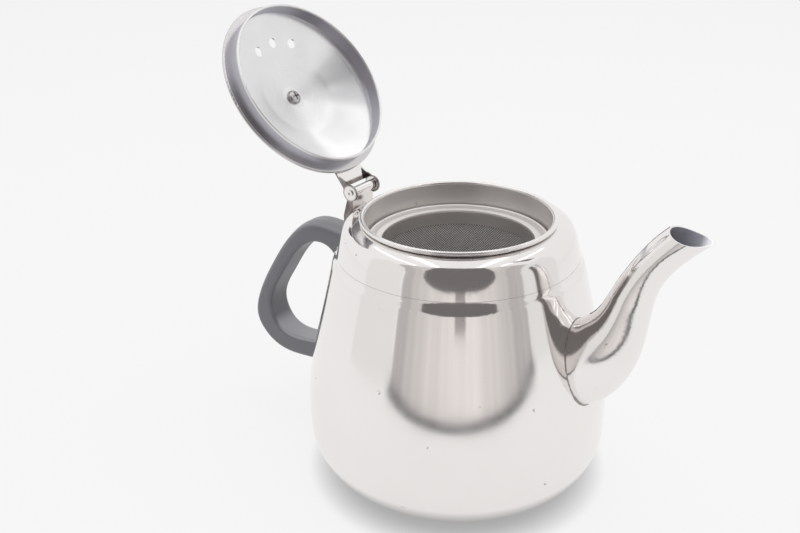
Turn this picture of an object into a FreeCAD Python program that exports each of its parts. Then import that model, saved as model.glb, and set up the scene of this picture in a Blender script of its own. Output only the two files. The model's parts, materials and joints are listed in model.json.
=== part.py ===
import FreeCAD, Part
import math
import os

# Stainless steel teapot with a hinged lid, a hanging strainer basket and a plastic handle, in millimetres.
# The origin is the centre of the flat underside. +Z is up, the spout points to +X and the handle to -X.
# The lid is drawn closed, on the pot's axis, and then swung open about its pin.

# Fits
weld_gap = 0.1
screw_gap = 0.05
pin_running_gap = 0.05
pin_seat_gap = 0.02
seat_gap = 0.1
lid_gap = 0.3
ear_gap = 0.35
pocket_gap = 0.2
clearance_hole_gap = 0.25
skirt_gap = 0.9
strainer_edge_gap = 0.9
basket_gap = 1.1

# Body pressing
body_sheet = 0.8
base_radius = 44.0
belly_radius = 77.6
belly_height = 30.6
belly_handle = 26.0
side_handle = 69.0
side_lean = 13.6
step_radius = 63.2
step_height = 5.9
step_handle = 3.5
seam_radius = 60.6
seam_height = 124.1
seam_lean = 11.5

# Shoulder pressing
shoulder_sheet = 0.8
shoulder_side_handle = 16.2
shoulder_top_handle = 8.4
shoulder_top_lean = 9.0

# Mouth collar with its rolled bead and the ledge for the strainer
rim_rise = 19.0
mouth_radius = 49.0
bead_radius = 1.15
bead_lap = 0.2
collar_sheet = 0.7
ledge_drop = 13.7
ledge_sheet = 0.7

# Spout, pressed in two halves. A section is its centre (distance beyond the belly, height), its axis above
# level, its half height and its half width.
spout_sheet = 0.8
spout_sections = [
    ((-14.4, 81.4), 12.5, 21.4, 14.2),
    ((-6.5, 82.9), 12.5, 21.7, 14.2),
    ((6.7, 96.2), 40.0, 16.8, 13.8),
    ((12.3, 110.4), 64.0, 12.1, 11.6),
    ((16.1, 123.9), 68.0, 9.7, 10.5),
    ((22.6, 138.4), 56.0, 8.2, 9.1),
    ((30.2, 149.2), 48.0, 8.1, 8.8),
    ((40.1, 159.2), 43.0, 7.8, 8.4),
    ((50.2, 168.1), 41.0, 7.7, 8.0),
]
outlet_back = (28.4, 160.6)
outlet_dip = (38.4, 157.0)
outlet_tip = (48.4, 156.8)
pour_hole_radius = 11.0
pour_hole_height = 83.0

# Strainer basket
strainer_sheet = 0.5
strainer_roll_radius = 0.8
rim_width = 8.0
band_depth = 7.0
mesh_thickness = 0.5
mesh_lap = 3.0
basket_depth = 66.0
hoop_height = 5.0
hoop_lip = 3.5
net_thickness = 0.8
net_pitch = 4.2
net_wire = 1.4

# Lid
lid_sheet = 0.7
flange_inset = 0.1
flange_roll_radius = 0.9
skirt_sheet = 0.7
skirt_depth = 7.2
skirt_hem_radius = 0.6
cone_rise = 11.0
boss_radius = 6.5
vent_count = 3
vent_radius = 2.5
vent_circle_radius = 29.6
vent_spacing = 25.0
lid_open_angle = 127.0

# Knob and its screw
knob_foot_radius = 7.5
knob_waist_radius = 6.2
knob_waist_height = 6.0
knob_radius = 15.0
knob_brim_height = 15.0
knob_height = 23.0
insert_radius = 3.6
insert_length = 12.0
screw_radius = 2.0
screw_head_radius = 4.0
screw_head_height = 2.5
screw_recess_length = 4.4
screw_recess_width = 0.9
screw_recess_depth = 1.5
knob_screw_end_gap = 0.7

# Hinge
hinge_inset = 0.1
hinge_rise = 0.9
pin_radius = 1.25
pin_head_radius = 2.0
pin_head_height = 0.7
barrel_radius = 2.5
barrel_width = 17.0
bracket_sheet = 1.0
plate_setback = 1.9
cheek_depth = 6.5
cheek_top_depth = 3.6
cheek_top_drop = 4.0
cheek_bottom_drop = 17.0
leaf_sheet = 1.0
leaf_reach_in = 8.0
leaf_end_gap = 1.2
leaf_window = 1.9
ear_radius = 4.4

# Handle, its lugs and screws. The outlines are (distance beyond the belly, drop below the seam), from the
# root downwards.
grip_width = 16.0
grip_round = 2.4
grip_top_round = 6.4
grip_outer = [(-29.6, 2.1), (-5.6, 3.5), (14.3, 3.5), (30.0, 14.1), (46.9, 36.5), (59.0, 58.7),
              (61.7, 74.4), (48.4, 89.2), (22.5, 91.0), (-7.6, 91.2)]
grip_inner = [(-29.6, 43.2), (-6.1, 27.1), (1.4, 16.5), (12.0, 15.2), (23.4, 21.6), (40.5, 44.4),
              (49.0, 65.1), (43.4, 75.9), (24.4, 79.3), (-7.6, 76.1)]
lug_width = 10.0
lug_sheet = 2.0
lug_foot_sheet = 2.5
lug_end = 7.0
upper_lug_drop = 10.1
upper_foot_height = 9.0
upper_screw_stand = 10.4
lower_lug_drop = 83.1
lower_foot_height = 5.0
lower_screw_stand = 12.2
screw_cover = 2.6
handle_screw_end = 0.6

# Worked out from the above
circle_handle = 4.0 / 3.0 * (math.sqrt(2.0) - 1.0)
far = 400.0
rim_height = seam_height + rim_rise
bead_height = rim_height - bead_radius
neck_height = bead_height - bead_radius - weld_gap
collar_radius = mouth_radius - 2.0 * bead_radius + bead_lap
collar_inner_radius = collar_radius - collar_sheet
neck_radius = collar_radius + weld_gap
ledge_height = rim_height - ledge_drop
flange_radius = mouth_radius - flange_inset
flange_height = rim_height + lid_gap
skirt_radius = collar_inner_radius - skirt_gap
cone_radius = skirt_radius - skirt_sheet
boss_height = flange_height + cone_rise
strainer_radius = collar_inner_radius - strainer_edge_gap
band_inner_radius = collar_inner_radius - rim_width
mesh_inner_radius = band_inner_radius + strainer_sheet + weld_gap
mesh_radius = mesh_inner_radius + mesh_thickness
ledge_inner_radius = mesh_radius + basket_gap
basket_floor = ledge_height - basket_depth
pin_x = hinge_inset - seam_radius
hinge_height = rim_height + hinge_rise
leaf_width = barrel_width + 2.0 * (ear_gap + leaf_sheet)
upper_lug_height = seam_height - upper_lug_drop
lower_lug_height = seam_height - lower_lug_drop


def vec(x, y, z):
    return FreeCAD.Vector(x, y, z)


def bezier(points):
    curve = Part.BezierCurve()
    curve.setPoles([vec(x, 0, z) for x, z in points])
    return curve.toShape()


def spline(points):
    curve = Part.BSplineCurve()
    curve.interpolate([vec(x, 0, z) for x, z in points])
    return curve.toShape()


def line(start, end):
    return Part.makeLine(vec(start[0], 0, start[1]), vec(end[0], 0, end[1]))


def polygon(points):
    closed = points + points[:1]
    return Part.Face(Part.makePolygon([vec(x, 0, z) for x, z in closed]))


def revolve(edges):
    face = Part.Face(Part.Wire(edges))
    return face.revolve(vec(0, 0, 0), vec(0, 0, 1), 360)


def revolve_polygon(points):
    return polygon(points).revolve(vec(0, 0, 0), vec(0, 0, 1), 360)


def extrude_across(face, near_side, far_side):
    slab = face.extrude(vec(0, far_side - near_side, 0))
    slab.translate(vec(0, near_side, 0))
    return slab


def upright(x, y, radius, low, high):
    return Part.makeCylinder(radius, high - low, vec(x, y, low))


def crosswise(x, z, radius, half_length):
    return Part.makeCylinder(radius, 2 * half_length, vec(x, -half_length, z), vec(0, 1, 0))


def ring(outer, inner, low, high):
    return upright(0, 0, outer, low, high).cut(upright(0, 0, inner, low, high))


def block(x_low, x_high, half_width, z_low, z_high):
    return Part.makeBox(x_high - x_low, 2 * half_width, z_high - z_low, vec(x_low, -half_width, z_low))


def roll(radius, tube_radius, height):
    return Part.makeTorus(radius, tube_radius, vec(0, 0, height))


def swing_open(shape):
    opened = shape.copy()
    opened.rotate(vec(pin_x, 0, hinge_height), vec(0, -1, 0), lid_open_angle)
    return opened


def body_solid(inset):
    belly = belly_radius - inset
    step = step_radius - inset
    seam = seam_radius - inset
    step_foot = seam_height - step_height
    lean = math.radians(side_lean)
    top_lean = math.radians(seam_lean)
    corner = bezier([
        (base_radius, inset),
        (base_radius + circle_handle * (belly - base_radius), inset),
        (belly, belly_height - circle_handle * (belly_height - inset)),
        (belly, belly_height)])
    side = bezier([
        (belly, belly_height),
        (belly, belly_height + belly_handle),
        (step + side_handle * math.sin(lean), step_foot - side_handle * math.cos(lean)),
        (step, step_foot)])
    neck_in = bezier([
        (step, step_foot),
        (step - step_handle * math.sin(lean), step_foot + step_handle * math.cos(lean)),
        (seam + step_handle * math.sin(top_lean), seam_height - step_handle * math.cos(top_lean)),
        (seam, seam_height)])
    top = line((seam, seam_height), (0, seam_height))
    axis = line((0, seam_height), (0, inset))
    floor = line((0, inset), (base_radius, inset))
    return revolve([corner, side, neck_in, top, axis, floor])


def body_shell():
    pour_hole = Part.makeCylinder(pour_hole_radius, far, vec(0, 0, pour_hole_height), vec(1, 0, 0))
    return body_solid(0).cut(body_solid(body_sheet)).cut(pour_hole)


def shoulder_solid(inset):
    foot = seam_radius - inset
    neck = neck_height - inset
    side_angle = math.radians(seam_lean)
    top_angle = math.radians(shoulder_top_lean)
    crown = bezier([
        (foot, seam_height),
        (foot - shoulder_side_handle * math.sin(side_angle),
         seam_height + shoulder_side_handle * math.cos(side_angle) - inset),
        (neck_radius + shoulder_top_handle * math.cos(top_angle),
         neck - shoulder_top_handle * math.sin(top_angle)),
        (neck_radius, neck)])
    top = line((neck_radius, neck), (0, neck))
    axis = line((0, neck), (0, seam_height))
    floor = line((0, seam_height), (foot, seam_height))
    return revolve([crown, top, axis, floor])


def shoulder_shell():
    shell = shoulder_solid(0).cut(shoulder_solid(shoulder_sheet))
    weld = upright(0, 0, far, 0, seam_height + weld_gap)
    return shell.cut([weld, upright(0, 0, neck_radius, 0, far)])


def mouth_collar():
    bead = roll(mouth_radius - bead_radius, bead_radius, bead_height)
    wall = ring(collar_radius, collar_inner_radius, ledge_height - ledge_sheet, bead_height)
    ledge = ring(collar_radius, ledge_inner_radius, ledge_height - ledge_sheet, ledge_height)
    return wall.fuse([bead, ledge]).removeSplitter()


def spout_section(centre, slope, half_height, half_width, side):
    # The wall of one half, cut square across the spout: two half ovals joined by the wall's two edges.
    tilt = math.radians(slope)
    rise = vec(-math.sin(tilt), 0, math.cos(tilt))
    middle = vec(belly_radius + centre[0], 0, centre[1])
    arcs = []
    for height, width in ((half_height, half_width), (half_height - spout_sheet, half_width - spout_sheet)):
        place = FreeCAD.Matrix(
            rise.x * height, 0, math.cos(tilt), middle.x,
            0, width * side, 0, 0,
            rise.z * height, 0, math.sin(tilt), middle.z,
            0, 0, 0, 1)
        half_circle = Part.makeCircle(1.0, vec(0, 0, 0), vec(0, 0, 1), 0, 180)
        arcs.append(half_circle.transformGeometry(place).Edges[0])
    top = Part.makeLine(middle + rise * half_height, middle + rise * (half_height - spout_sheet))
    bottom = Part.makeLine(middle - rise * half_height, middle - rise * (half_height - spout_sheet))
    return Part.Wire([arcs[0], bottom, arcs[1], top])


def spout_cutaway():
    # What stands above the outlet, whose rim dips in a curve from its back and runs out level at its tip.
    back, dip, tip = [(belly_radius + x, z) for x, z in (outlet_back, outlet_dip, outlet_tip)]
    rim = Part.Arc(vec(back[0], 0, back[1]), vec(dip[0], 0, dip[1]), vec(tip[0], 0, tip[1])).toShape()
    corners = [tip, (tip[0] + far, tip[1]), (tip[0] + far, 2 * far), (back[0], 2 * far), back]
    sides = [line(first, second) for first, second in zip(corners, corners[1:])]
    return extrude_across(Part.Face(Part.Wire([rim] + sides)), -far, far)


def spout_half(side):
    sections = [spout_section(*section, side) for section in spout_sections]
    half = Part.makeLoft(sections, True, False)
    return half.cut([body_solid(0), spout_cutaway()])


def strainer_rim():
    low = ledge_height + seat_gap
    outer = strainer_radius - strainer_roll_radius
    band_outer = band_inner_radius + strainer_sheet
    edge = roll(outer, strainer_roll_radius, low + strainer_roll_radius)
    flange = ring(outer, band_inner_radius, low, low + strainer_sheet)
    band = ring(band_outer, band_inner_radius, ledge_height - band_depth, low + strainer_sheet)
    return flange.fuse([edge, band]).removeSplitter()


def strainer_wall():
    return ring(mesh_radius, mesh_inner_radius, basket_floor, ledge_height - band_depth + mesh_lap)


def strainer_hoop():
    inner = mesh_radius + weld_gap
    outer = inner + strainer_sheet
    wall = ring(outer, inner, basket_floor - strainer_sheet, basket_floor + hoop_height)
    lip = ring(outer, mesh_inner_radius - hoop_lip, basket_floor - strainer_sheet, basket_floor)
    return wall.fuse(lip).removeSplitter()


def strainer_net():
    radius = mesh_inner_radius - weld_gap
    gap = net_pitch - net_wire
    count = int(radius / net_pitch)
    wires = [Part.Wire(Part.makeCircle(radius, vec(0, 0, basket_floor)))]
    for column in range(-count, count + 1):
        for row in range(-count, count + 1):
            x = column * net_pitch
            y = row * net_pitch
            if math.hypot(abs(x) + gap / 2, abs(y) + gap / 2) < radius - hoop_lip:
                corner = vec(x - gap / 2, y - gap / 2, basket_floor)
                wires.append(Part.makePlane(gap, gap, corner).OuterWire)
    holed = Part.makeFace(wires, "Part::FaceMakerBullseye")
    return holed.extrude(vec(0, 0, net_thickness))


def lid_cover():
    edge = flange_radius - flange_roll_radius
    low = [(0, boss_height), (boss_radius, boss_height), (cone_radius, flange_height), (edge, flange_height)]
    high = [(r, z + lid_sheet) for r, z in reversed(low)]
    sheet = revolve_polygon(low + high)
    cover = sheet.fuse(roll(edge, flange_roll_radius, flange_height + flange_roll_radius)).removeSplitter()
    cuts = [upright(0, 0, screw_radius + clearance_hole_gap, 0, far)]
    for index in range(vent_count):
        angle = math.radians((index - (vent_count - 1) / 2.0) * vent_spacing)
        x = vent_circle_radius * math.cos(angle)
        y = vent_circle_radius * math.sin(angle)
        cuts.append(upright(x, y, vent_radius, 0, far))
    return cover.cut(cuts)


def lid_skirt():
    low = flange_height - skirt_depth
    wall = ring(skirt_radius, cone_radius, low, flange_height)
    hem = roll(skirt_radius - skirt_hem_radius, skirt_hem_radius, low)
    return wall.fuse(hem).removeSplitter()


def lid_knob():
    foot = boss_height + lid_sheet
    waist = foot + knob_waist_height
    brim = foot + knob_brim_height
    top = foot + knob_height
    stem = line((knob_foot_radius, foot), (knob_waist_radius, waist))
    flare = bezier([(knob_waist_radius, waist), (knob_waist_radius, brim), (knob_radius, waist),
                    (knob_radius, brim)])
    crown = bezier([(knob_radius, brim), (knob_radius, top), (knob_waist_radius, top), (0, top)])
    axis = line((0, top), (0, foot))
    seat = line((0, foot), (knob_foot_radius, foot))
    knob = revolve([stem, flare, crown, axis, seat])
    return knob.cut(upright(0, 0, insert_radius + pin_seat_gap, foot, foot + insert_length + pocket_gap))


def knob_insert():
    foot = boss_height + lid_sheet
    sleeve = upright(0, 0, insert_radius, foot, foot + insert_length)
    return sleeve.cut(upright(0, 0, screw_radius + screw_gap, 0, far))


def pan_screw(length):
    # The head sits below the origin and the shank rises along +Z.
    crown = bezier([(0, -screw_head_height), (screw_head_radius * 0.7, -screw_head_height),
                    (screw_head_radius, -screw_head_height * 0.7), (screw_head_radius, 0)])
    head = revolve([crown, line((screw_head_radius, 0), (0, 0)), line((0, 0), (0, -screw_head_height))])
    screw = head.fuse(upright(0, 0, screw_radius, 0, length))
    half = screw_recess_width / 2.0
    floor = -screw_head_height + screw_recess_depth
    along = block(-screw_recess_length / 2, screw_recess_length / 2, half, -far, floor)
    across = block(-half, half, screw_recess_length / 2, -far, floor)
    return screw.cut([along, across])


def knob_screw():
    screw = pan_screw(lid_sheet + insert_length - knob_screw_end_gap)
    screw.translate(vec(0, 0, boss_height))
    return screw


def hinge_bracket():
    front = pin_x + barrel_radius - plate_setback
    half = barrel_width / 2.0
    base = hinge_height - cheek_bottom_drop
    barrel = crosswise(pin_x, hinge_height, barrel_radius, half)
    plate = block(front - bracket_sheet, front, half, base, hinge_height)
    cheek = polygon([
        (front, base),
        (front, hinge_height - cheek_top_drop),
        (front - cheek_top_depth, hinge_height - cheek_top_drop),
        (front - cheek_depth, base + cheek_depth / 2.0),
        (front - cheek_depth, base)])
    left_cheek = extrude_across(cheek, half - bracket_sheet, half)
    right_cheek = extrude_across(cheek, -half, bracket_sheet - half)
    bracket = barrel.fuse([plate, left_cheek, right_cheek])
    bore = crosswise(pin_x, hinge_height, pin_radius + pin_running_gap, far)
    return bracket.cut([bore, shoulder_solid(0), body_solid(0)]).removeSplitter()


def hinge_pin():
    half = leaf_width / 2.0
    pin = crosswise(pin_x, hinge_height, pin_radius, half)
    heads = crosswise(pin_x, hinge_height, pin_head_radius, half + pin_head_height)
    heads = heads.cut(crosswise(pin_x, hinge_height, far, half))
    return pin.fuse(heads.Solids).removeSplitter()


def lid_leaf():
    low = flange_height + 2.0 * flange_roll_radius
    end = pin_x + barrel_radius + leaf_window
    half = leaf_width / 2.0
    plate = block(end, leaf_reach_in - flange_radius, half, low, low + leaf_sheet)
    web = polygon([
        (-flange_radius - leaf_end_gap, low + leaf_sheet),
        (-flange_radius - leaf_end_gap, low),
        (pin_x, hinge_height - ear_radius),
        (pin_x, hinge_height + ear_radius),
        (end, low + leaf_sheet)])
    webs = [extrude_across(web, -half, leaf_sheet - half), extrude_across(web, half - leaf_sheet, half)]
    rounds = crosswise(pin_x, hinge_height, ear_radius, half)
    rounds = rounds.cut(crosswise(pin_x, hinge_height, far, half - leaf_sheet))
    leaf = plate.fuse(webs + rounds.Solids)
    pin_hole = crosswise(pin_x, hinge_height, pin_radius + pin_seat_gap, far)
    return leaf.cut([pin_hole, lid_cover()]).removeSplitter()


def foot_face(height):
    # How far the outer face of a lug's foot is from the pot's axis.
    slice_box = block(0, far, lug_sheet / 2.0, height - lug_sheet, height)
    return body_solid(0).common(slice_box).BoundBox.XMax + lug_foot_sheet


def lug(height, screw_stand, foot_height, gap):
    # A flat tab with a foot turned down against the body. A gap above zero gives the pocket that takes it.
    half = lug_width / 2.0 + gap
    face = foot_face(height)
    tab = block(-face - screw_stand - lug_end - gap, 0, half, height - lug_sheet - gap, height + gap)
    foot = block(-face - gap, 0, half, height - foot_height - gap, height + gap)
    return tab.fuse(foot).cut(body_solid(0)).removeSplitter()


def handle_lug(height, screw_stand, foot_height):
    tab = lug(height, screw_stand, foot_height, 0)
    return tab.cut(upright(-foot_face(height) - screw_stand, 0, screw_radius + screw_gap, 0, far))


def handle_screw(height, screw_stand):
    seat = height - lug_sheet - pocket_gap - screw_cover
    screw = pan_screw(height + handle_screw_end - seat)
    screw.translate(vec(-foot_face(height) - screw_stand, 0, seat))
    return screw


def screw_bore(height, screw_stand):
    x = -foot_face(height) - screw_stand
    seat = height - lug_sheet - pocket_gap - screw_cover
    shank = upright(x, 0, screw_radius + clearance_hole_gap, seat, height + 2 * handle_screw_end)
    head = upright(x, 0, screw_head_radius + clearance_hole_gap, seat - 4 * screw_head_height, seat)
    return shank.fuse(head)


def grip_point(point):
    return (-belly_radius - point[0], seam_height - point[1])


def edges_along(bar, curve, side):
    # The edge of the grip's bar that runs along one of its outlines, on one side.
    level = side * grip_width / 2.0
    return [edge for edge in bar.Edges
            if abs(edge.Length - curve.Length) < 1.0 and abs(edge.CenterOfMass.y - level) < 0.01]


def handle_grip():
    outer_points = [grip_point(point) for point in grip_outer]
    inner_points = [grip_point(point) for point in grip_inner]
    root = line(outer_points[0], inner_points[0])
    heel = line(outer_points[-1], inner_points[-1])
    outer_curve = spline(outer_points)
    inner_curve = spline(inner_points)
    outline = Part.Face(Part.Wire(Part.__sortEdges__([outer_curve, heel, inner_curve, root])))
    bar = extrude_across(outline, -grip_width / 2.0, grip_width / 2.0)
    for side in (-1, 1):
        bar = bar.makeFillet(grip_top_round, grip_round, edges_along(bar, outer_curve, side))
        bar = bar.makeFillet(grip_round, edges_along(bar, inner_curve, side))
    return bar.cut([
        body_solid(0),
        shoulder_solid(0),
        lug(upper_lug_height, upper_screw_stand, upper_foot_height, pocket_gap),
        lug(lower_lug_height, lower_screw_stand, lower_foot_height, pocket_gap),
        screw_bore(upper_lug_height, upper_screw_stand),
        screw_bore(lower_lug_height, lower_screw_stand)])


fixed_pieces = {
    "body_shell": body_shell(),
    "shoulder_shell": shoulder_shell(),
    "mouth_collar": mouth_collar(),
    "spout_half_left": spout_half(1),
    "spout_half_right": spout_half(-1),
    "hinge_bracket": hinge_bracket(),
    "handle_grip": handle_grip(),
    "handle_lug_upper": handle_lug(upper_lug_height, upper_screw_stand, upper_foot_height),
    "handle_lug_lower": handle_lug(lower_lug_height, lower_screw_stand, lower_foot_height),
    "handle_screw_upper": handle_screw(upper_lug_height, upper_screw_stand),
    "handle_screw_lower": handle_screw(lower_lug_height, lower_screw_stand),
    "strainer_rim": strainer_rim(),
    "strainer_wall": strainer_wall(),
    "strainer_hoop": strainer_hoop(),
    "strainer_net": strainer_net(),
}
lid_pieces = {
    "lid_cover": lid_cover(),
    "lid_skirt": lid_skirt(),
    "lid_leaf": lid_leaf(),
    "lid_knob": lid_knob(),
    "knob_insert": knob_insert(),
    "knob_screw": knob_screw(),
    "hinge_pin": hinge_pin(),
}

os.makedirs("parts", exist_ok=True)
pieces = dict(fixed_pieces)
for name, shape in lid_pieces.items():
    pieces[name] = swing_open(shape)
for name, shape in pieces.items():
    shape.exportStep("parts/" + name + ".step")
    print(name, "solids", len(shape.Solids), "valid", shape.isValid(), "volume", round(shape.Volume, 1))
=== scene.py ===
import bpy
import json
import math
from mathutils import Matrix, Vector
from mathutils.bvhtree import BVHTree


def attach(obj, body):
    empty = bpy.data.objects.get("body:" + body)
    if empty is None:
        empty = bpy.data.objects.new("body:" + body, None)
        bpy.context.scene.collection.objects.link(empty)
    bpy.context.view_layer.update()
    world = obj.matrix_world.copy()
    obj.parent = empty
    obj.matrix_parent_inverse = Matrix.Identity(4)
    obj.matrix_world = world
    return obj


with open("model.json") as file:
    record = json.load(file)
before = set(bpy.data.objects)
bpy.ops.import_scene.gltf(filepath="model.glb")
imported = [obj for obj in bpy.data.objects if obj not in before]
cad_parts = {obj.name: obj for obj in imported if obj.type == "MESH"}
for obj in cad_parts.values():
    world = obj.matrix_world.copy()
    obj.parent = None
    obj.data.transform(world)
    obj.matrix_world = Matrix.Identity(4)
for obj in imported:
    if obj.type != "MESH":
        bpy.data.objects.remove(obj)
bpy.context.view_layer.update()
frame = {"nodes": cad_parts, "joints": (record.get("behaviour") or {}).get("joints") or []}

# Camera, solved from the photo, in metres and degrees, with its lens in millimetres
camera_place = (0.24227, -0.37306, 0.31519)
camera_turn = 36.744
camera_tilt = 24.284
camera_roll = -0.918
camera_lens = 43.54
camera_sensor = 36.0

# Light
background_level = 0.925
ambient_level = 0.66
top_lamp_watts = 13.0
top_lamp_place = (0.0, 0.1, 1.5)
top_lamp_target = (0.0, 0.0, 0.1)
top_lamp_size = (1.6, 1.6)

# Floor, with the soft shadow close under the pot
floor_size = 8.0
floor_pale = (0.90, 0.90, 0.90, 1.0)
floor_rough = 0.9
floor_glow = 0.88
shadow_reach = 0.016
shadow_rays = 12
shadow_spread = (0.20, 0.95)
shadow_level = 0.45

# Colours of the part
steel_bright = (0.885, 0.860, 0.847, 1.0)
steel_dull = (0.850, 0.823, 0.810, 1.0)
# Colour of small specks, and also the dark colour mixed in for painted shade on the collar's wall, in the
# strainer flange's groove and at the pin's ends, and for the strainer's darker band
steel_speck_and_shade = (0.42, 0.39, 0.37, 1.0)
lid_bright = (0.84, 0.835, 0.84, 1.0)
lid_dull = (0.78, 0.775, 0.785, 1.0)
lid_edge = (0.66, 0.645, 0.65, 1.0)
skirt_bright = (0.57, 0.57, 0.62, 1.0)
skirt_dull = (0.47, 0.47, 0.515, 1.0)
plastic_dark = (0.122, 0.123, 0.138, 1.0)
plastic_light = (0.150, 0.151, 0.168, 1.0)
# Painted sheen on the plastic's upper side
plastic_painted_sheen = (0.325, 0.322, 0.345, 1.0)
spout_inside = (0.42, 0.42, 0.475, 1.0)
# Painted light on the outlet's lining toward the lip's tip
lip_painted_light = (0.92, 0.92, 0.93, 1.0)
# Painted shade in the crease under the mouth's bead
crease_painted_shade = (0.05, 0.045, 0.043, 1.0)
# Painted reflection on the hinge's cheeks and painted shade by its barrel
hinge_painted_shade = (0.15, 0.125, 0.115, 1.0)
# Painted shade in the mesh's gaps and painted highlight on its crossings
mesh_gap_shade = (0.085, 0.081, 0.082, 1.0)
mesh_crest_highlight = (1.0, 0.97, 0.95, 1.0)
screw_bright = (0.66, 0.65, 0.64, 1.0)
screw_dull = (0.50, 0.49, 0.48, 1.0)
brass_bright = (0.75, 0.58, 0.28, 1.0)
brass_dull = (0.62, 0.46, 0.20, 1.0)
weld_bright = (0.52, 0.49, 0.47, 1.0)
weld_dark = (0.16, 0.15, 0.15, 1.0)

# Places on the part, in metres. A pair is where a look begins and where it is complete.
pot_axis = (Vector((0, 0, 0)), Vector((0, 0, 1)))
collar_wall = (0.0463, 0.0468)
bead_side = (0.0481, 0.0484)
bead_foot = (0.1408, 0.1411)
flange_groove = 0.0424
groove_edge = (0.0007, 0.0016)
flange_foot = (0.1287, 0.1293)
lid_middle = (0.012, 0.024)
lid_rim = (0.0449, 0.0456)
skirt_hem = (-0.0073, -0.0067)
# Reach of the hinge's painted shade from the pin's axis, on its cheeks and along its edges
cheek_painted_shade = (0.0034, 0.0044)
bracket_edge_shade = (0.0, 0.0001)
leaf_edge_shade = (0.0062, 0.0072)
# Reach of the dark dot of painted shade on the pin's ends
pin_dimple_shade = (0.0006, 0.0009)
spout_mouth = (0.1078, 0.0, 0.1492)
spout_mouth_lean = 45.0
spout_mouth_height = 0.0080
spout_mouth_width = 0.0086
outlet_depth = (-0.004, 0.0)
lip_tip = (0.0110, 0.0150)
mesh_radius = 0.039
mesh_pitch = 0.0014

# How far a face turns toward an axis, from 0 to 1, where a look begins and where it is complete
upper_side = (0.45, 0.72)
cheek_side = (0.80, 0.95)
flank_side = (0.05, 0.25)

# Shares from 0 to 1
# Share of painted shade on the collar's inner wall
wall_painted_shade = 0.32
# Share of painted shade along the strainer flange's groove
groove_painted_shade = 0.5
band_darker = 0.35
speck_cover = 0.7
cloud_cover = (0.7, 1.0)
outlet_edge = (0.86, 0.92)
mesh_shade = (0.14, 0.62)
flange_metal = 0.45
outlet_metal = 0.25
mesh_metal = (0.2, 0.5)
plastic_shine = 0.75
flank_lift = 0.12
lid_flattening = 0.8

# Noise: patches in a metre, detail and roughness
smear_noise = (9.0, 3.0, 0.55)
speck_noise = (210.0, 2.0, 0.55)
dent_noise = (55.0, 2.0, 0.55)
line_noise = (1.0, 3.0, 0.55)
body_noise = (34.0, 6.0, 0.62)
cloud_noise = (160.0, 3.0, 0.55)
hinge_noise = (90.0, 4.0, 0.55)
strainer_noise = (120.0, 4.0, 0.55)
ragged_noise = (420.0, 3.0, 0.55)
spout_noise = (60.0, 6.0, 0.62)
lid_noise = (30.0, 5.0, 0.6)
mark_noise = (85.0, 6.0, 0.65)
skirt_noise = (60.0, 5.0, 0.6)
mesh_noise = (200.0, 4.0, 0.55)
grain_noise = (1400.0, 3.0, 0.55)
plastic_noise = (40.0, 4.0, 0.55)
metal_noise = (300.0, 5.0, 0.55)
metal_grain_noise = (900.0, 4.0, 0.55)

# Spread of the noise, from the value where nothing of a look shows to the value where all of it does
broad_spread = (0.3, 0.7)
even_spread = (0.35, 0.65)
smear_spread = (0.35, 0.7)
smudge_spread = (0.38, 0.68)
mark_spread = (0.56, 0.74)
speck_spread = (0.735, 0.765)

# Fine lines in a metre, left by turning
body_lines = 2200.0
collar_lines = 3000.0
lid_lines = 1800.0
skirt_lines = 3000.0

# How far reflections blur across those lines, and the quarter turn between the two
body_brushing = 0.5
collar_brushing = 0.6
strainer_brushing = 0.3
lid_brushing = 0.6
skirt_brushing = 0.5
across_lines = 0.25

# Relief of the surface, in metres
body_dents = 0.00002
collar_dents = 0.00001
hinge_dents = 0.00002
strainer_dents = 0.00001
spout_dents = 0.00003
ragged_depth = 0.00002
lid_line_depth = 0.00001
mesh_depth = 0.00015
grain_depth = 0.00004
grain_strength = 0.6
metal_grain_depth = 0.00002

# Roughness, or what is added to it
body_rough = (0.075, 0.115)
body_line_rough = (0.0, 0.02)
collar_rough = (0.42, 0.25)
collar_line_rough = (-0.02, 0.03)
hinge_rough = (0.12, 0.2)
strainer_rough = (0.42, 0.50)
spout_rough = (0.08, 0.15)
outlet_rough = 0.45
lid_rough = (0.17, 0.22)
lid_mark_rough = 0.06
lid_middle_rough = 0.10
skirt_rough = (0.36, 0.46)
mesh_rough = (0.42, 0.52)
plastic_rough = (0.36, 0.46)
screw_rough = (0.2, 0.3)
brass_rough = (0.25, 0.35)
weld_rough = (0.3, 0.4)

# Weld around the spout's foot and along its seam, in metres and counts
weld_reach = 0.0003
weld_radius = 0.00042
weld_steps = 90
foot_swell = 0.9
foot_height = 0.070
seam_radius = 0.00028
seam_start = 0.0735
seam_end = 0.1068
seam_steps = 40
beside_seam = 0.0002
above_spout = 0.25
bead_wobble = 0.25
bead_wobble_turn = 2.4

# Cards around the pot, in metres across, toward the back and up, all turned with the front
front_turn = 33.0
tent_left = -0.47
tent_right = 0.65
tent_front = -0.405
tent_top = 0.60
left_wall_back = -0.045
right_wall_back = 0.08
opening_width = (-0.44, 0.64)
opening_bends = ((-0.405, 0.0), (-0.405, 0.33), (-0.34, 0.48), (-0.18, 0.60))
front_edge_width = (-0.46, 0.66)
front_edge_bends = ((-0.404, 0.011), (-0.404, 0.001), (-0.354, 0.001))
stand_middle = 0.0165
stand_rows = ((0.09, -0.400, 0.136), (0.16, -0.400, 0.155), (0.215, -0.400, 0.195),
              (0.2425, -0.400, 0.26), (0.2425, -0.385, 0.36), (0.235, -0.355, 0.42),
              (0.205, -0.302, 0.50), (0.17, -0.236, 0.55), (0.13, -0.170, 0.595))
stand_foot_width = (-0.012, 0.045)
stand_foot_bends = ((-0.401, 0.103), (-0.401, 0.14))
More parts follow.
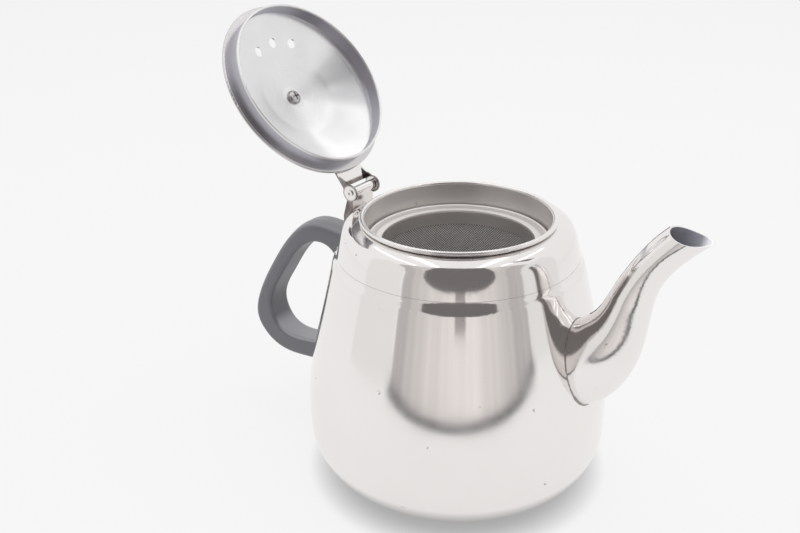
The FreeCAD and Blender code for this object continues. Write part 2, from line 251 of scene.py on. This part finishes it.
dim_ceiling_width = (0.30, 0.45)
dim_ceiling_bends = ((-0.01, 0.599), (0.080, 0.599))
half_dim_width = (0.22, 0.30)
half_dim_bends = ((0.01, 0.599), (0.105, 0.599))
bright_panel_width = (0.15, 0.268)
bright_panel_bends = ((0.11, 0.602), (0.56, 0.602))
strip_places = (-0.252, -0.103, 0.110, 0.255)
strip_half_width = 0.012
strip_bends = ((-0.14, 0.60), (0.50, 0.60))

# Colours of the cards
opening_pale = (0.85, 0.815, 0.80, 1.0)
# Painted shade where the floor ends in front
front_edge_shade = (0.10, 0.10, 0.105, 1.0)
stand_dark = (0.175, 0.163, 0.165, 1.0)
stand_foot_dark = (0.36, 0.33, 0.325, 1.0)
ceiling_dim = (0.10, 0.10, 0.11, 1.0)
ceiling_half_dim = (0.60, 0.60, 0.61, 1.0)
panel_bright = (0.92, 0.92, 0.92, 1.0)
wall_pale = (0.84, 0.835, 0.83, 1.0)
strip_bright = (2.2, 2.2, 2.2, 1.0)

# Light and folds of the open side
opening_middle = 0.03
opening_fall = (0.03, 0.40)
opening_light = (1.03, 0.62)
fold_lines = 16.0
fold_light = (-0.07, 0.07)


def tree_of(name):
    material = bpy.data.materials.new(name)
    material.use_nodes = True
    tree = material.node_tree
    return material, tree, tree.nodes["Principled BSDF"]


def add(tree, kind, settings=None, **values):
    node = tree.nodes.new(kind)
    for key, value in (settings or {}).items():
        setattr(node, key, value)
    for key, value in values.items():
        node.inputs[key.replace("_", " ")].default_value = value
    return node


def feed(tree, node, **sources):
    for key, source in sources.items():
        tree.links.new(source, node.inputs[key.replace("_", " ")])


def source_of(node, name):
    return node.inputs[name].links[0].from_socket


def fill_pair(tree, node, first, second):
    for socket, value in zip(node.inputs, (first, second)):
        if isinstance(value, bpy.types.NodeSocket):
            tree.links.new(value, socket)
        else:
            socket.default_value = value


def maths(tree, operation, first, second=0.0):
    node = add(tree, "ShaderNodeMath", {"operation": operation})
    fill_pair(tree, node, first, second)
    return node.outputs[0]


def vector_maths(tree, operation, first, second=(0.0, 0.0, 0.0)):
    # Dot products and lengths give one number and the others a vector.
    node = add(tree, "ShaderNodeVectorMath", {"operation": operation})
    fill_pair(tree, node, first, second)
    return node.outputs["Value" if operation in ("DOT_PRODUCT", "LENGTH") else "Vector"]


def axes_of(tree, vector):
    node = add(tree, "ShaderNodeSeparateXYZ")
    tree.links.new(vector, node.inputs[0])
    return node.outputs


def place_of(tree):
    return add(tree, "ShaderNodeTexCoord").outputs["Object"]


def noise(tree, where, scale, detail, roughness):
    node = add(tree, "ShaderNodeTexNoise", Scale=scale, Detail=detail, Roughness=roughness)
    feed(tree, node, Vector=where)
    return node.outputs["Fac"]


def ramp(tree, value, low, high, low_out, high_out):
    node = add(tree, "ShaderNodeMapRange")
    for socket, number in zip(node.inputs[1:5], (low, high, low_out, high_out)):
        socket.default_value = number
    tree.links.new(value, node.inputs[0])
    return node.outputs[0]


def mix_colour(tree, factor, first, second):
    # Among the node's inputs the factor is number 0, and the two colours are numbers 6 and 7.
    node = add(tree, "ShaderNodeMix", {"data_type": "RGBA"})
    tree.links.new(factor, node.inputs[0])
    for socket, value in zip((node.inputs[6], node.inputs[7]), (first, second)):
        if isinstance(value, tuple):
            socket.default_value = value
        else:
            tree.links.new(value, socket)
    return node.outputs[2]


def bump(tree, height, distance, strength=1.0):
    node = add(tree, "ShaderNodeBump", Strength=strength, Distance=distance)
    feed(tree, node, Height=height)
    return node


def around_axis(tree, centre, axis):
    # Distance from an axis, height along it and the direction around it, all in the node's own place.
    place = vector_maths(tree, "SUBTRACT", place_of(tree), centre)
    height = vector_maths(tree, "DOT_PRODUCT", place, axis)
    sideways = vector_maths(tree, "CROSS_PRODUCT", axis, place)
    return vector_maths(tree, "LENGTH", sideways), height, sideways


def to_world(tree, vector, kind):
    node = add(tree, "ShaderNodeVectorTransform",
               {"vector_type": kind, "convert_from": "OBJECT", "convert_to": "WORLD"})
    tree.links.new(vector, node.inputs[0])
    return vector_maths(tree, "NORMALIZE", node.outputs[0])


def brush_around(tree, shader, sideways, amount):
    # Fine lines run around the axis, so that reflections blur across them.
    feed(tree, shader, Tangent=to_world(tree, sideways, "VECTOR"))
    shader.inputs["Anisotropic"].default_value = amount
    shader.inputs["Anisotropic Rotation"].default_value = across_lines


def fine_lines(tree, distance, count):
    lines = add(tree, "ShaderNodeCombineXYZ")
    feed(tree, lines, X=maths(tree, "MULTIPLY", distance, count))
    return noise(tree, lines.outputs[0], *line_noise)


def worn_steel(tree, shader, place, dents):
    # Colour and surface shared by the polished pieces: faint smears, a few specks and shallow dents.
    smear = ramp(tree, noise(tree, place, *smear_noise), *smear_spread, 0.0, 1.0)
    speck = ramp(tree, noise(tree, place, *speck_noise), *speck_spread, 0.0, speck_cover)
    clean = mix_colour(tree, smear, steel_bright, steel_dull)
    dented = bump(tree, noise(tree, place, *dent_noise), dents)
    feed(tree, shader, Base_Color=mix_colour(tree, speck, clean, steel_speck_and_shade), Normal=dented.outputs["Normal"])
    shader.inputs["Metallic"].default_value = 1.0


def polished_steel(name):
    material, tree, shader = tree_of(name)
    place = place_of(tree)
    worn_steel(tree, shader, place, body_dents)
    _, height, sideways = around_axis(tree, *pot_axis)
    smudge = ramp(tree, noise(tree, place, *body_noise), *smudge_spread, *body_rough)
    lines = ramp(tree, fine_lines(tree, height, body_lines), *broad_spread, *body_line_rough)
    feed(tree, shader, Roughness=maths(tree, "ADD", smudge, lines))
    brush_around(tree, shader, sideways, body_brushing)
    return material


def satin_collar(name):
    # The wall is painted a little darker than the bead as painted shade inside the mouth, and the crease under
    # the bead is painted dark as painted shade.
    material, tree, shader = tree_of(name)
    worn_steel(tree, shader, place_of(tree), collar_dents)
    radius, height, sideways = around_axis(tree, *pot_axis)
    darker = ramp(tree, radius, *collar_wall, wall_painted_shade, 0.0)
    wall = mix_colour(tree, darker, source_of(shader, "Base Color"), steel_speck_and_shade)
    outside = ramp(tree, radius, *bead_side, 0.0, 1.0)
    # Painted shade in the crease under the bead
    crease_shade = maths(tree, "MULTIPLY", outside, ramp(tree, height, *bead_foot, 1.0, 0.0))
    finish = ramp(tree, radius, *collar_wall, *collar_rough)
    lines = ramp(tree, fine_lines(tree, height, collar_lines), *broad_spread, *collar_line_rough)
    feed(tree, shader, Base_Color=mix_colour(tree, crease_shade, wall, crease_painted_shade),
         Roughness=maths(tree, "ADD", finish, lines))
    brush_around(tree, shader, sideways, collar_brushing)
    return material


def hinge_steel(name, pin, edge_shade):
    # Bent sheet, painted dark on its cheeks as a painted reflection and along the edge by the barrel as
    # painted shade. The pin's ends get a dark dot of painted shade for a dimple.
    material, tree, shader = tree_of(name)
    place = place_of(tree)
    worn_steel(tree, shader, place, hinge_dents)
    facing = axes_of(tree, add(tree, "ShaderNodeNewGeometry").outputs["Normal"])
    cheek = ramp(tree, maths(tree, "ABSOLUTE", facing["Y"]), *cheek_side, 0.0, 1.0)
    off_cheek = maths(tree, "SUBTRACT", 1.0, cheek)
    distance = around_axis(tree, pin, Vector((0, 1, 0)))[0]
    cloud = ramp(tree, noise(tree, place, *cloud_noise), *even_spread, *cloud_cover)
    far = maths(tree, "MULTIPLY", cheek, ramp(tree, distance, *cheek_painted_shade, 0.0, 1.0))
    near = maths(tree, "MULTIPLY", off_cheek, ramp(tree, distance, *edge_shade, 1.0, 0.0))
    # Painted reflection on the cheeks and painted shade by the barrel, in patches
    painted_shade = maths(tree, "MULTIPLY", maths(tree, "MAXIMUM", far, near), cloud)
    # A dark dot of painted shade on the pin's ends stands for a dimple
    dimple_shade = maths(tree, "MULTIPLY", cheek, ramp(tree, distance, *pin_dimple_shade, 1.0, 0.0))
    shaded = mix_colour(tree, painted_shade, source_of(shader, "Base Color"), hinge_painted_shade)
    feed(tree, shader, Base_Color=mix_colour(tree, dimple_shade, shaded, steel_speck_and_shade),
         Roughness=ramp(tree, noise(tree, place, *hinge_noise), *even_spread, *hinge_rough))
    return material


def strainer_sheet(name):
    # The flange is bead blasted and pale, with a dark line of painted shade for its groove, and the band below
    # it stays bare metal and is darker.
    material, tree, shader = tree_of(name)
    place = place_of(tree)
    worn_steel(tree, shader, place, strainer_dents)
    radius, height, sideways = around_axis(tree, *pot_axis)
    off_groove = maths(tree, "ABSOLUTE", maths(tree, "SUBTRACT", radius, flange_groove))
    # Painted shade along the flange's groove
    groove_shade = ramp(tree, off_groove, *groove_edge, groove_painted_shade, 0.0)
    band = ramp(tree, height, *flange_foot, band_darker, 0.0)
    darker = maths(tree, "MAXIMUM", groove_shade, band)
    feed(tree, shader, Base_Color=mix_colour(tree, darker, source_of(shader, "Base Color"), steel_speck_and_shade),
         Metallic=ramp(tree, height, *flange_foot, 1.0, flange_metal),
         Roughness=ramp(tree, noise(tree, place, *strainer_noise), *broad_spread, *strainer_rough))
    brush_around(tree, shader, sideways, strainer_brushing)
    return material


def flat_flank(tree, dented, place):
    # The real flank is a little flatter than the solid's ovals, and its polish is ragged.
    normal = add(tree, "ShaderNodeNewGeometry").outputs["Normal"]
    lift = add(tree, "ShaderNodeCombineXYZ")
    feed(tree, lift, Z=ramp(tree, axes_of(tree, normal)["Z"], *flank_side, flank_lift, 0.0))
    tilted = vector_maths(tree, "NORMALIZE", vector_maths(tree, "ADD", normal, lift.outputs[0]))
    feed(tree, dented, Normal=tilted)
    ragged = bump(tree, noise(tree, place, *ragged_noise), ragged_depth)
    feed(tree, ragged, Normal=dented.outputs["Normal"])
    return ragged.outputs["Normal"]


def outlet_lining(tree, place):
    # How far a place is inside the outlet's oval, and the lining's colour, which is painted pale toward the
    # lip's tip as painted light.
    lean = math.radians(spout_mouth_lean)
    shift = vector_maths(tree, "SUBTRACT", place, spout_mouth)
    upward = vector_maths(tree, "DOT_PRODUCT", shift, (-math.sin(lean) / spout_mouth_height, 0.0,
                                                       math.cos(lean) / spout_mouth_height))
    sides = axes_of(tree, shift)
    across = maths(tree, "DIVIDE", sides["Y"], spout_mouth_width)
    reach = maths(tree, "ADD", maths(tree, "POWER", upward, 2.0), maths(tree, "POWER", across, 2.0))
    inside = maths(tree, "MULTIPLY", ramp(tree, reach, *outlet_edge, 1.0, 0.0),
                   ramp(tree, sides["Z"], *outlet_depth, 0.0, 1.0))
    return inside, mix_colour(tree, ramp(tree, sides["X"], *lip_tip, 0.0, 1.0), spout_inside, lip_painted_light)


def spout_steel(name):
    material, tree, shader = tree_of(name)
    place = place_of(tree)
    worn_steel(tree, shader, place, spout_dents)
    inside, lining = outlet_lining(tree, place)
    polish = ramp(tree, noise(tree, place, *spout_noise), *smudge_spread, *spout_rough)
    dull_inside = maths(tree, "MULTIPLY", inside, outlet_rough)
    feed(tree, shader, Normal=flat_flank(tree, source_of(shader, "Normal").node, place),
         Base_Color=mix_colour(tree, inside, source_of(shader, "Base Color"), lining),
         Metallic=ramp(tree, inside, 0.0, 1.0, 1.0, outlet_metal),
         Roughness=maths(tree, "ADD", polish, dull_inside))
    return material


def brushed_lid(name, centre, axis):
    # Lines turned around the axis. Toward the middle the pressing is a little flatter than a cone.
    material, tree, shader = tree_of(name)
    radius, _, sideways = around_axis(tree, centre, axis)
    place = place_of(tree)
    fine = fine_lines(tree, radius, lid_lines)
    patch = ramp(tree, noise(tree, place, *lid_noise), *smear_spread, 0.0, 1.0)
    marks = ramp(tree, noise(tree, place, *mark_noise), *mark_spread, 0.0, lid_mark_rough)
    sheet = mix_colour(tree, patch, lid_bright, lid_dull)
    rough = maths(tree, "ADD", ramp(tree, fine, *broad_spread, *lid_rough), marks)
    duller = ramp(tree, radius, *lid_middle, lid_middle_rough, 0.0)
    flatter = vector_maths(tree, "MULTIPLY", ramp(tree, radius, *lid_middle, lid_flattening, 0.0), -axis)
    bent = vector_maths(tree, "ADD", add(tree, "ShaderNodeTexCoord").outputs["Normal"], flatter)
    grooves = bump(tree, fine, lid_line_depth)
    feed(tree, grooves, Normal=to_world(tree, bent, "NORMAL"))
    feed(tree, shader, Base_Color=mix_colour(tree, ramp(tree, radius, *lid_rim, 0.0, 1.0), sheet, lid_edge),
         Roughness=maths(tree, "ADD", rough, duller), Normal=grooves.outputs["Normal"])
    shader.inputs["Metallic"].default_value = 1.0
    brush_around(tree, shader, sideways, lid_brushing)
    return material


def dull_skirt(name, centre, axis):
    # Darker sheet with a bright hem that is a painted highlight.
    material, tree, shader = tree_of(name)
    _, height, sideways = around_axis(tree, centre, axis)
    patch = noise(tree, place_of(tree), *skirt_noise)
    sheet = mix_colour(tree, patch, skirt_bright, skirt_dull)
    # The bright hem is a painted highlight on the skirt's free edge
    hem = ramp(tree, height, *skirt_hem, 1.0, 0.0)
    feed(tree, shader, Base_Color=mix_colour(tree, hem, sheet, lid_bright),
         Roughness=ramp(tree, fine_lines(tree, height, skirt_lines), *broad_spread, *skirt_rough))
    shader.inputs["Metallic"].default_value = 1.0
    brush_around(tree, shader, sideways, skirt_brushing)
    return material


def woven_mesh(name):
    # Wires that cross slantwise, with a whole number of them around the basket. The gaps between them are
    # painted dark as painted shade and their crossings pale as painted highlights.
    material, tree, shader = tree_of(name)
    place = place_of(tree)
    axes = axes_of(tree, place)
    angle = maths(tree, "ARCTAN2", axes["Y"], axes["X"])
    count = round(2.0 * math.pi * mesh_radius / mesh_pitch)
    around = maths(tree, "MULTIPLY", angle, count / 2.0)
    along = maths(tree, "MULTIPLY", axes["Z"], math.pi / mesh_pitch)
    crossings = [maths(tree, operation, around, along) for operation in ("ADD", "SUBTRACT")]
    waves = [maths(tree, "ABSOLUTE", maths(tree, "COSINE", crossing)) for crossing in crossings]
    height = maths(tree, "MULTIPLY", *waves)
    shade = ramp(tree, height, *mesh_shade, 0.0, 1.0)
    feed(tree, shader, Base_Color=mix_colour(tree, shade, mesh_gap_shade, mesh_crest_highlight),
         Metallic=ramp(tree, shade, 0.0, 1.0, *mesh_metal),
         Roughness=ramp(tree, noise(tree, place, *mesh_noise), *broad_spread, *mesh_rough),
         Normal=bump(tree, height, mesh_depth).outputs["Normal"])
    return material


def moulded_plastic(name, sheen_share):
    # Painted paler where it faces up, as a painted sheen.
    material, tree, shader = tree_of(name)
    place = place_of(tree)
    grain = noise(tree, place, *grain_noise)
    patch = noise(tree, place, *plastic_noise)
    facing = axes_of(tree, add(tree, "ShaderNodeTexCoord").outputs["Normal"])
    upper_sheen = ramp(tree, facing["Z"], *upper_side, 0.0, sheen_share)
    sides = mix_colour(tree, patch, plastic_dark, plastic_light)
    feed(tree, shader, Base_Color=mix_colour(tree, upper_sheen, sides, plastic_painted_sheen),
         Roughness=ramp(tree, patch, *broad_spread, *plastic_rough),
         Normal=bump(tree, grain, grain_depth, grain_strength).outputs["Normal"])
    shader.inputs["Specular IOR Level"].default_value = plastic_shine
    return material


def plain_metal(name, bright, dull, rough):
    material, tree, shader = tree_of(name)
    place = place_of(tree)
    patch = noise(tree, place, *metal_noise)
    grain = bump(tree, noise(tree, place, *metal_grain_noise), metal_grain_depth)
    feed(tree, shader, Base_Color=mix_colour(tree, patch, bright, dull),
         Roughness=ramp(tree, patch, *broad_spread, *rough), Normal=grain.outputs["Normal"])
    shader.inputs["Metallic"].default_value = 1.0
    return material


def dress(material, *names):
    for name in names:
        for slot in frame["nodes"][name].material_slots:
            slot.material = material


def dress_all():
    hinge = next(joint for joint in frame["joints"] if joint["name"] == "lid_hinge")
    pin = Vector(hinge["pos_m"])
    swing = math.radians(hinge["range_deg"][1])
    lid_axis = Vector((-math.sin(swing), 0.0, math.cos(swing)))
    lid_centre = pin + Matrix.Rotation(-swing, 3, "Y") @ Vector((-pin.x, 0.0, 0.0))
    dress(polished_steel("polished_body"), "body_shell", "shoulder_shell")
    dress(satin_collar("satin_collar"), "mouth_collar")
    dress(spout_steel("polished_spout"), "spout_half_left", "spout_half_right")
    dress(hinge_steel("shaded_hinge", pin, bracket_edge_shade), "hinge_bracket", "hinge_pin")
    dress(hinge_steel("shaded_leaf", pin, leaf_edge_shade), "lid_leaf")
    dress(strainer_sheet("strainer_sheet"), "strainer_rim", "strainer_hoop")
    dress(woven_mesh("woven_wire"), "strainer_wall", "strainer_net")
    dress(brushed_lid("brushed_lid", lid_centre, lid_axis), "lid_cover")
    dress(dull_skirt("dull_skirt", lid_centre, lid_axis), "lid_skirt")
    dress(moulded_plastic("moulded_grip", 1.0), "handle_grip")
    dress(moulded_plastic("moulded_knob", 0.0), "lid_knob")
    dress(plain_metal("plain_screw", screw_bright, screw_dull, screw_rough), "knob_screw",
          "handle_screw_upper", "handle_screw_lower", "handle_lug_upper", "handle_lug_lower")
    dress(plain_metal("turned_brass", brass_bright, brass_dull, brass_rough), "knob_insert")


def surface_of(name):
    mesh = frame["nodes"][name].data
    corners = [vertex.co for vertex in mesh.vertices]
    return BVHTree.FromPolygons(corners, [face.vertices for face in mesh.polygons])


def weld_line():
    # The outer edge of the spout's foot, where it meets the body, in order around it.
    body = surface_of("body_shell")
    corners = [vertex.co for name in ("spout_half_left", "spout_half_right")
               for vertex in frame["nodes"][name].data.vertices]
    foot = [corner for corner in corners if body.find_nearest(corner)[3] < weld_reach]
    middle = sum(foot, Vector()) / len(foot)
    outermost = {}
    for point in foot:
        shift = point - middle
        step = round(math.atan2(shift.z, shift.y) / (2.0 * math.pi) * weld_steps) % weld_steps
        reach = math.hypot(shift.y, shift.z)
        if step not in outermost or reach > outermost[step][0]:
            outermost[step] = (reach, point)
    return [outermost[step][1] for step in sorted(outermost)]


def seam_line():
    # The ridge on top of the spout, where its two halves meet, found from above on one half.
    half = surface_of("spout_half_right")
    ridge = []
    for step in range(seam_steps + 1):
        x = seam_start + (seam_end - seam_start) * step / seam_steps
        spot = half.ray_cast(Vector((x, -beside_seam, above_spout)), Vector((0, 0, -1)))[0]
        if spot:
            ridge.append(Vector((x, 0.0, spot.z)))
    return ridge


def make_bead(name, points, radius, closed, material):
    # The bead's width wavers along its way, and low on the foot it swells.
    data = bpy.data.curves.new(name, "CURVE")
    data.dimensions = "3D"
    data.bevel_depth = radius
    data.bevel_resolution = 3
    spline = data.splines.new("NURBS")
    spline.points.add(len(points) - 1)
    for number, (point, place) in enumerate(zip(spline.points, points)):
        swell = foot_swell if place.z < foot_height else 0.0
        point.co = (*place, 1.0)
        point.radius = 1.0 + bead_wobble * math.sin(bead_wobble_turn * number) + swell
    spline.order_u = 4
    spline.use_cyclic_u = closed
    spline.use_endpoint_u = not closed
    data.materials.append(material)
    bead = bpy.data.objects.new(name, data)
    bpy.context.scene.collection.objects.link(bead)
    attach(bead, "pot")


def make_welds():
    weld = plain_metal("weld_bead", weld_bright, weld_dark, weld_rough)
    make_bead("spout_weld", weld_line(), weld_radius, True, weld)
    make_bead("spout_seam", seam_line(), seam_radius, False, weld)


def seen_directly(tree):
    # 1 for what is looked at straight, in a mirror of metal or through a gap, so that all see one background.
    path = add(tree, "ShaderNodeLightPath")
    either = maths(tree, "MAXIMUM", path.outputs["Is Camera Ray"], path.outputs["Is Glossy Ray"])
    return maths(tree, "MAXIMUM", either, path.outputs["Is Transmission Ray"])


def make_world():
    world = bpy.data.worlds.new("studio")
    bpy.context.scene.world = world
    world.use_nodes = True
    tree = world.node_tree
    shade = tree.nodes["Background"]
    shade.inputs["Color"].default_value = (1, 1, 1, 1)
    feed(tree, shade, Strength=ramp(tree, seen_directly(tree), 0.0, 1.0, ambient_level, background_level))


def make_floor():
    # A pale floor that glows as bright as the background and is dimmer close under the pot.
    bpy.ops.mesh.primitive_plane_add(size=floor_size)
    floor = bpy.context.object
    floor.name = "floor"
    material, tree, shader = tree_of("floor_paper")
    shader.inputs["Base Color"].default_value = floor_pale
    shader.inputs["Roughness"].default_value = floor_rough
    shader.inputs["Specular IOR Level"].default_value = 0.0
    glow = add(tree, "ShaderNodeEmission", Color=(1, 1, 1, 1))
    open_sky = add(tree, "ShaderNodeAmbientOcclusion", {"samples": shadow_rays}, Distance=shadow_reach)
    feed(tree, glow, Strength=ramp(tree, open_sky.outputs["AO"], *shadow_spread,
                                   shadow_level * background_level, background_level))
    blend = add(tree, "ShaderNodeMixShader")
    tree.links.new(maths(tree, "MULTIPLY", seen_directly(tree), floor_glow), blend.inputs[0])
    tree.links.new(shader.outputs[0], blend.inputs[1])
    tree.links.new(glow.outputs[0], blend.inputs[2])
    feed(tree, tree.nodes["Material Output"], Surface=blend.outputs[0])
    floor.data.materials.append(material)


def in_front(x, y, z):
    turn = math.radians(front_turn)
    return Vector((x * math.cos(turn) - y * math.sin(turn), x * math.sin(turn) + y * math.cos(turn), z))


def make_card(name, rows, colour):
    # A card that only the metal sees. Each row is an edge of the card, given by its two end points.
    mesh = bpy.data.meshes.new(name)
    corners = [in_front(*corner) for row in rows for corner in row]
    faces = [(2 * i, 2 * i + 1, 2 * i + 3, 2 * i + 2) for i in range(len(rows) - 1)]
    mesh.from_pydata(corners, [], faces)
    card = bpy.data.objects.new(name, mesh)
    bpy.context.scene.collection.objects.link(card)
    material, tree, _ = tree_of(name)
    glow = add(tree, "ShaderNodeEmission", Color=colour, Strength=1.0)
    feed(tree, tree.nodes["Material Output"], Surface=glow.outputs[0])
    mesh.materials.append(material)
    card.visible_camera = False
    card.visible_diffuse = False
    card.visible_transmission = False
    card.visible_shadow = False
    return card


def shade_folds(card):
    # The open side is brightest in the middle and falls off in soft upright folds.
    tree = card.data.materials[0].node_tree
    turn = math.radians(front_turn)
    across = vector_maths(tree, "DOT_PRODUCT", place_of(tree), (math.cos(turn), math.sin(turn), 0.0))
    shift = maths(tree, "ABSOLUTE", maths(tree, "SUBTRACT", across, opening_middle))
    folds = ramp(tree, fine_lines(tree, across, fold_lines), *even_spread, *fold_light)
    light = maths(tree, "ADD", ramp(tree, shift, *opening_fall, *opening_light), folds)
    feed(tree, tree.nodes["Emission"], Strength=light)


def level_rows(width, bends):
    left, right = width
    return [((left, y, z), (right, y, z)) for y, z in bends]


def wall_rows(x, back):
    return [((x, y, 0.0), (x, y, tent_top)) for y in (tent_front, back)]


def stand_edges():
    return [((stand_middle - half, y, z), (stand_middle + half, y, z)) for half, y, z in stand_rows]


def make_cards():
    shade_folds(make_card("open_side", level_rows(opening_width, opening_bends), opening_pale))
    # A dark strip of painted shade where the floor ends in front
    make_card("front_edge", level_rows(front_edge_width, front_edge_bends), front_edge_shade)
    make_card("camera_stand", stand_edges(), stand_dark)
    make_card("stand_foot", level_rows(stand_foot_width, stand_foot_bends), stand_foot_dark)
    make_card("dim_ceiling", level_rows(dim_ceiling_width, dim_ceiling_bends), ceiling_dim)
    make_card("half_dim_ceiling", level_rows(half_dim_width, half_dim_bends), ceiling_half_dim)
    make_card("bright_panel", level_rows(bright_panel_width, bright_panel_bends), panel_bright)
    make_card("left_wall", wall_rows(tent_left, left_wall_back), wall_pale)
    make_card("right_wall", wall_rows(tent_right, right_wall_back), wall_pale)
    for number, x in enumerate(strip_places):
        width = (x - strip_half_width, x + strip_half_width)
        make_card(f"light_strip_{number}", level_rows(width, strip_bends), strip_bright)


def make_top_lamp():
    data = bpy.data.lights.new("top_lamp", "AREA")
    data.shape = "RECTANGLE"
    data.size, data.size_y = top_lamp_size
    data.energy = top_lamp_watts
    lamp = bpy.data.objects.new("top_lamp", data)
    bpy.context.scene.collection.objects.link(lamp)
    place = Vector(top_lamp_place)
    lamp.location = place
    lamp.rotation_mode = "QUATERNION"
    lamp.rotation_quaternion = (Vector(top_lamp_target) - place).to_track_quat("-Z", "Y")
    lamp.visible_glossy = False


def make_camera():
    data = bpy.data.cameras.new("camera")
    data.sensor_fit = "HORIZONTAL"
    data.sensor_width = camera_sensor
    data.lens = camera_lens
    camera = bpy.data.objects.new("camera", data)
    bpy.context.scene.collection.objects.link(camera)
    turn = Matrix.Rotation(math.radians(camera_turn), 4, "Z")
    tilt = Matrix.Rotation(math.radians(90.0 - camera_tilt), 4, "X")
    roll = Matrix.Rotation(math.radians(camera_roll), 4, "Z")
    camera.matrix_world = Matrix.Translation(camera_place) @ turn @ tilt @ roll
    bpy.context.scene.camera = camera


bpy.context.scene.view_settings.view_transform = "Standard"
make_world()
make_floor()
make_cards()
make_top_lamp()
make_camera()
dress_all()
make_welds()
